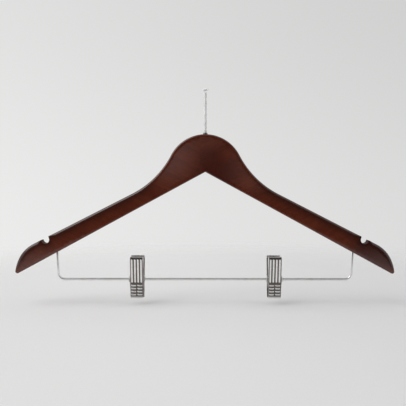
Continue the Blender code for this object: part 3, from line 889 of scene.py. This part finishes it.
def plate_place(z):
    """The jaw plate's middle surface: its distance from the bar's axis and its lean at height z."""
    bend, crease = z - PLATE_BEND[1], z - PLATE_CREASE_Z
    soft = [0.5 * (t + np.sqrt(t * t + PLATE_SOFTNESS)) for t in (bend, crease)]
    slope = [0.5 * (1 + t / np.sqrt(t * t + PLATE_SOFTNESS)) for t in (bend, crease)]
    y = PLATE_BEND[0] + JAW_LEAN * bend + (HANDLE_LEAN - JAW_LEAN) * soft[0]
    y = y + (LIP_LEAN - HANDLE_LEAN) * soft[1]
    lean = JAW_LEAN + (HANDLE_LEAN - JAW_LEAN) * slope[0] + (LIP_LEAN - HANDLE_LEAN) * slope[1]
    return y, lean


def bead(distance, half_width):
    """A stamped bead's height, from 1 on its line to 0 at its foot."""
    share = np.clip(distance / half_width, 0, 1)
    return (0.5 + 0.5 * np.cos(math.pi * share)) ** 0.8


def embossing(x, z):
    """0 on the flat sheet, 1 on the crests of the finger ribs and the grip ribs."""
    height = np.zeros(np.broadcast(x, z).shape)
    run_on = RIB_HALF_WIDTH * BEAD_END
    low, high = RIB_BOTTOM + run_on, RIB_TOP - run_on
    for i in range(4):
        centre = (i - 1.5) * RIB_PITCH
        away = np.hypot(x - centre, z - np.clip(z, low, high))
        height = np.maximum(height, bead(away, RIB_HALF_WIDTH))
    reach = GRIP_HALF_LENGTH - GRIP_HALF_WIDTH * BEAD_END
    for row in range(4):
        level = GRIP_TOP - row * RIB_PITCH
        for centre in (-GRIP_X, GRIP_X):
            away = np.hypot(x - np.clip(x, centre - reach, centre + reach), z - level)
            height = np.maximum(height, bead(away, GRIP_HALF_WIDTH))
    return height


def tapered(y, z, end_y, end_z, start_radius, end_radius):
    """Distance to a flat shape from a disc at the pivot to a smaller disc at (end_y, end_z)."""
    length = math.hypot(end_y, end_z)
    uy, uz = end_y / length, end_z / length
    along = y * uy + z * uz
    across = np.abs(y * uz - z * uy)
    sine = (start_radius - end_radius) / length
    cosine = math.sqrt(1 - sine * sine)
    k = along * cosine - across * sine
    first = np.hypot(along, across) - start_radius
    last = np.hypot(along - length, across) - end_radius
    middle = along * sine + across * cosine - start_radius
    return np.where(k < 0, first, np.where(k > length * cosine, last, middle))


def jaw_field(jaw):
    """The distance field of a stamped jaw. The last number of each blend is its rounding."""
    middle = (PLATE_TOP + PLATE_BOTTOM) / 2
    half_height = (PLATE_TOP - PLATE_BOTTOM) / 2
    ear_ends = [(float(plate_place(np.float64(z))[0]), z)
                for z in (jaw.ear_top - EAR_TIP_RADIUS, jaw.ear_bottom + EAR_TIP_RADIUS)]

    def field(x, y, z):
        plate_y, lean = plate_place(z)
        upright = 1 / np.sqrt(1 + lean * lean)
        offset = (y - plate_y) * upright - RIB_HEIGHT * embossing(x, z)
        sheet = np.abs(offset) - SHEET / 2
        over_x = np.abs(x) - (jaw.half_width - PLATE_CORNER)
        over_z = np.abs(z - middle) - (half_height - PLATE_CORNER)
        border = np.hypot(np.maximum(over_x, 0), np.maximum(over_z, 0))
        border = border + np.minimum(np.maximum(over_x, over_z), 0) - PLATE_CORNER
        sheet = smooth_max(sheet, border, 0.35)

        upper, lower = (tapered(y, z, *end, EAR_RADIUS, EAR_TIP_RADIUS) for end in ear_ends)
        shape = smooth_min(upper, lower, 1.5)
        shape = smooth_max(shape, (y - plate_y) * upright, 0.3)
        shape = smooth_max(shape, EAR_HOLE_RADIUS - np.hypot(y, z), 0.2)
        ear = smooth_max(np.abs(np.abs(x) - jaw.ear_x) - EAR_SHEET / 2, shape, 0.25)
        return smooth_min(sheet, ear, 0.7)
    return field


def pad_field(x, y, z):
    """The distance field of a soft grip pad, whose toothed face looks at y = 0."""
    plate_y, _ = plate_place(z)
    teeth = TOOTH_HEIGHT * (0.5 + 0.5 * np.cos(math.tau * (z - PAD_BOTTOM) / TOOTH_PITCH))
    inner = PAD_CLEARANCE + teeth - y
    outer = y - (plate_y - SHEET / 2 - PAD_TO_SHEET)
    ends = np.maximum(np.abs(x) - PAD_HALF_WIDTH, np.maximum(z - PAD_TOP, PAD_BOTTOM - z))
    return smooth_max(smooth_max(inner * 0.8, outer, 0.4), ends, 0.6)


def recess_shade(obj, jaw):
    """Marks where painted shade darkens a jaw: its inner face, and the valleys between its ribs."""
    co = np.array([v.co for v in obj.data.vertices]) / MM
    x, y, z = co[:, 0], co[:, 1] * jaw.facing, co[:, 2]
    plate_y, lean = plate_place(z)
    offset = (y - plate_y) / np.sqrt(1 + lean * lean)
    height = embossing(x, z)
    top = smooth_step(PLATE_TOP - 0.2, PLATE_TOP - 1.0, z)
    bottom = smooth_step(PLATE_BOTTOM + 1.0, PLATE_BOTTOM + 2.6, z)
    value = (1 - smooth_step(0.08, 0.75, height)) * top * (0.35 + 0.65 * bottom)
    value = value * smooth_step(0.0, 0.3, offset)
    value = value * (1 - smooth_step(jaw.half_width - 0.3, jaw.half_width, np.abs(x)))
    inside = smooth_step(0.1, -0.2, offset) * smooth_step(PLATE_CREASE_Z, PLATE_CREASE_Z - 2.0, z)
    value = np.maximum(value, 0.75 * inside)
    attribute = obj.data.attributes.new("painted_recess_shade", "FLOAT", "POINT")
    attribute.data.foreach_set("value", value.astype(np.float32))


def clip_piece(name, side, jaw, field, half_width, depths, heights, step, material):
    """A piece of a clip made from its distance field, which is searched between these limits."""
    near, far = sorted(depth * jaw.facing for depth in depths)
    obj = surface(name, lambda x, y, z: field(x, y * jaw.facing, z),
                  (-half_width, near, heights[0]), (half_width, far, heights[1]), step, material)
    obj.data.transform(Matrix.Scale(MM, 4))
    obj.location = (clip_x(side), 0, BAR_Z)
    return obj


def build_jaws(side):
    for jaw_name, jaw in JAWS.items():
        body, node = f"{side}_{jaw_name}_jaw", f"{side}_clip_{jaw_name}"
        plate = clip_piece(f"{node}_jaw_stamped", side, jaw, jaw_field(jaw), jaw.net_half_width,
                           JAW_DEPTHS, JAW_HEIGHTS, JAW_STEP, MATERIALS["chrome"])
        recess_shade(plate, jaw)
        settle(plate, body, "chrome_plate", f"{node}_jaw")
        pad = clip_piece(f"{node}_pad_moulded", side, jaw, pad_field, PAD_NET_HALF_WIDTH,
                         PAD_DEPTHS, PAD_HEIGHTS, PAD_STEP, MATERIALS["rubber"])
        settle(pad, body, "grip_rubber", f"{node}_pad")


def build_pivot_tube(side):
    low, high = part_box(f"{side}_clip_pivot_tube")
    length, flange = (high.x - low.x) / 2 / MM, high.y / MM
    inner = length - 0.6
    tube, bore = 2.4, 1.9
    corners = [(bore, length), (flange, length), (flange, inner), (tube, inner),
               (tube, -inner), (flange, -inner), (flange, -length), (bore, -length)]
    profile = rounded(corners, 0.22, 4)
    obj = lathe(f"{side}_clip_pivot_tube_turned", [(p.x * MM, p.y * MM) for p in profile],
                MATERIALS["pin"])
    obj.data.transform(Matrix.Rotation(math.pi / 2, 4, "Y"))
    obj.location = (clip_x(side), 0, BAR_Z)
    settle(obj, f"{side}_clip", "chrome_plate", f"{side}_clip_pivot_tube")


def build_spring(side):
    """The torsion spring round the tube, a leg up the inside of each handle."""
    wire, coil, half, turns = 0.4, 3.15, 5.2, 6
    tip_y, tip_z = 6.6, 14.0
    reach = math.hypot(tip_y, tip_z)
    lean = math.acos(coil / reach) - math.atan2(tip_z, tip_y)
    start, end = math.pi + lean, (turns + 1) * math.tau - lean
    steps = round((end - start) / math.tau * 32)
    helix = []
    for i in range(steps + 1):
        share = i / steps
        a = start + (end - start) * share
        helix.append(Vector(((2 * share - 1) * half, coil * math.cos(a), coil * math.sin(a))))
    front_tip, back_tip = Vector((-half, -tip_y, tip_z)), Vector((half, tip_y, tip_z))
    front_leg = [front_tip.lerp(helix[0], i / 8) for i in range(8)]
    back_leg = [helix[-1].lerp(back_tip, i / 8) for i in range(1, 9)]
    points = front_leg + helix + back_leg
    place = Vector((clip_x(side), 0, BAR_Z))
    route = [p * MM + place for p in points]
    sizes = [wire * MM] * len(route)
    sizes[0] = sizes[-1] = wire * MM * 0.75
    obj = sweep(f"{side}_clip_spring_wound", route, sizes, 14, MATERIALS["steel"])
    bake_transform(obj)
    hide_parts(f"{side}_clip_spring")


# ---------------------------------------------------------------- stage

FLOOR_Z = -251.5 * MM
FLOOR_RADIUS = 2.5
FLOOR_SIDES = 96
FLOOR_FADE = (0.32, 0.80)  # where the floor begins to thin out, and where it is gone
TARGET = Vector((-0.0026, 0.0, -0.1314))
CAMERA_DISTANCE = 0.7
CAMERA_YAW = math.radians(-0.27)
CAMERA_PITCH = math.radians(2.0)
CAMERA_ROLL = math.radians(0.09)
FOCAL_PIXELS = 595.0
FRAME_PIXELS = 406
SENSOR_WIDTH = 36.0
# Soft walls: their axis, where they begin and are full along it, and how bright
WALLS = [(0, -0.26, -0.70, 0.85), (0, 0.38, 0.75, 0.80), (2, 0.42, 0.75, 0.45),
         (2, -0.25, -0.60, 0.70)]
STUDIO_DARK = 0.04
# Soft lamps: where they stand, the cosines at their edge and at full strength, and how bright
LIGHTS = [((-0.61, -0.22, 0.76), 0.86, 0.94, 2.9),
          ((0.58, 0.00, 0.81), 0.86, 0.94, 0.9),
          ((-0.052, -1.0, 0.047), 0.9984, 0.9999, 0.52),
          ((0.012, -1.0, 0.082), 0.9989, 0.9999, 0.24),
          ((0.085, -1.0, 0.022), 0.9986, 0.9998, 0.26)]


def build_camera():
    data = bpy.data.cameras.new("camera")
    data.sensor_width = SENSOR_WIDTH
    data.lens = SENSOR_WIDTH * FOCAL_PIXELS / FRAME_PIXELS
    camera = bpy.data.objects.new("camera", data)
    bpy.context.scene.collection.objects.link(camera)
    level = math.cos(CAMERA_PITCH)
    back = Vector((math.sin(CAMERA_YAW) * level, -math.cos(CAMERA_YAW) * level,
                   math.sin(CAMERA_PITCH)))
    camera.location = TARGET + CAMERA_DISTANCE * back
    aim = (-back).to_track_quat("-Z", "Y").to_matrix()
    roll = Matrix.Rotation(CAMERA_ROLL, 3, "Z")
    camera.rotation_euler = (aim @ roll).to_euler()
    bpy.context.scene.camera = camera


def toward_light(tree, toward, place, edge, core):
    """1 where a direction is close to place, 0 away from it, by the cosine between them."""
    near = add(tree, "VectorMath", {0: toward, 1: Vector(place).normalized()},
               operation="DOT_PRODUCT").outputs["Value"]
    return step_up(tree, near, edge, core)


def build_world():
    world = bpy.data.worlds.new("studio")
    bpy.context.scene.world = world
    world.use_nodes = True
    tree = world.node_tree
    tree.nodes.clear()
    toward = add(tree, "TexCoord").outputs["Generated"]
    axes = add(tree, "SeparateXYZ", {0: toward}).outputs
    x, y, z = axes[0], axes[1], axes[2]

    # What lights the hanger: a glowing backdrop behind it, the walls, and the lamps
    glow = math_node(tree, "MULTIPLY", step_up(tree, y, -0.2, 0.4), 0.75)
    level = math_node(tree, "MULTIPLY", step_up(tree, z, 0.6, 0.35), glow)
    level = math_node(tree, "MAXIMUM", level, STUDIO_DARK)
    shapes = [(step_up(tree, axes[axis], begin, full), strength)
              for axis, begin, full, strength in WALLS]
    shapes += [(toward_light(tree, toward, place, edge, core), strength)
               for place, edge, core, strength in LIGHTS]
    for shape, strength in shapes:
        level = math_node(tree, "MAXIMUM", level, math_node(tree, "MULTIPLY", shape, strength))
    tint = ramp(tree, step_up(tree, level, 0.1, 0.5), (
        (0.0, (1.0, 0.93, 0.88)), (1.0, (1.0, 1.0, 1.0))))
    studio = add(tree, "Background", {"Color": tint, "Strength": level})

    # The camera itself sees a pale backdrop, darker to the right and a little darker higher up
    across = math_node(tree, "ADD", math_node(tree, "MULTIPLY", x, -0.18), 0.775)
    lift = math_node(tree, "MULTIPLY", step_up(tree, z, -0.1, 0.35), 0.09)
    pale = math_node(tree, "SUBTRACT", across, lift)
    backdrop = add(tree, "Background", {"Color": (1.0, 1.0, 0.995, 1), "Strength": pale})
    seen = add(tree, "LightPath").outputs["Is Camera Ray"]
    mixed = add(tree, "MixShader", {0: seen, 1: studio.outputs[0], 2: backdrop.outputs[0]})
    output = add(tree, "OutputWorld", {"Surface": mixed.outputs[0]})
    output.is_active_output = True


def build_floor():
    turns = [math.tau * i / FLOOR_SIDES for i in range(FLOOR_SIDES)]
    verts = [(0, 0, FLOOR_Z)]
    verts += [(FLOOR_RADIUS * math.cos(a), FLOOR_RADIUS * math.sin(a), FLOOR_Z) for a in turns]
    faces = [(0, 1 + i, 1 + (i + 1) % FLOOR_SIDES) for i in range(FLOOR_SIDES)]
    material, tree, shader = new_material("pale_paper", Roughness=0.9, Specular_IOR_Level=0.1)
    place = add(tree, "TexCoord").outputs["Object"]
    fibre = noise(tree, place, 900, detail=2)
    tone = ramp(tree, fibre, ((0.3, (0.84, 0.835, 0.835)), (0.7, (0.86, 0.855, 0.855))))
    across = add(tree, "SeparateXYZ", {0: place}).outputs[0]
    # Painted shade: the floor's colour grows darker towards the right
    painted_shade_to_right = ramp(tree, step_up(tree, across, -0.15, 0.35), (
        (0.0, (1.0, 1.0, 1.0)), (1.0, (0.88, 0.885, 0.89))))
    tone = mix_colour(tree, 1.0, tone, painted_shade_to_right, "MULTIPLY")
    tree.links.new(tone, shader.inputs["Base Color"])
    flat = add(tree, "VectorMath", {0: place, 1: (1, 1, 0)}, operation="MULTIPLY")
    away = add(tree, "VectorMath", {0: flat.outputs[0]}, operation="LENGTH").outputs["Value"]
    fade = step_up(tree, away, *FLOOR_FADE)
    clear = add(tree, "BsdfTransparent")
    mixed = add(tree, "MixShader", {0: fade, 1: shader.outputs[0], 2: clear.outputs[0]})
    tree.links.new(mixed.outputs[0], tree.nodes["Material Output"].inputs["Surface"])
    floor = mesh_object("floor", verts, faces, material)


# ---------------------------------------------------------------- putting it together

bpy.context.scene.view_settings.view_transform = "Standard"
build_wood()
build_pin()
build_bar()
for side_name in SIDES:
    build_jaws(side_name)
    build_pivot_tube(side_name)
    build_spring(side_name)
build_camera()
build_world()
build_floor()
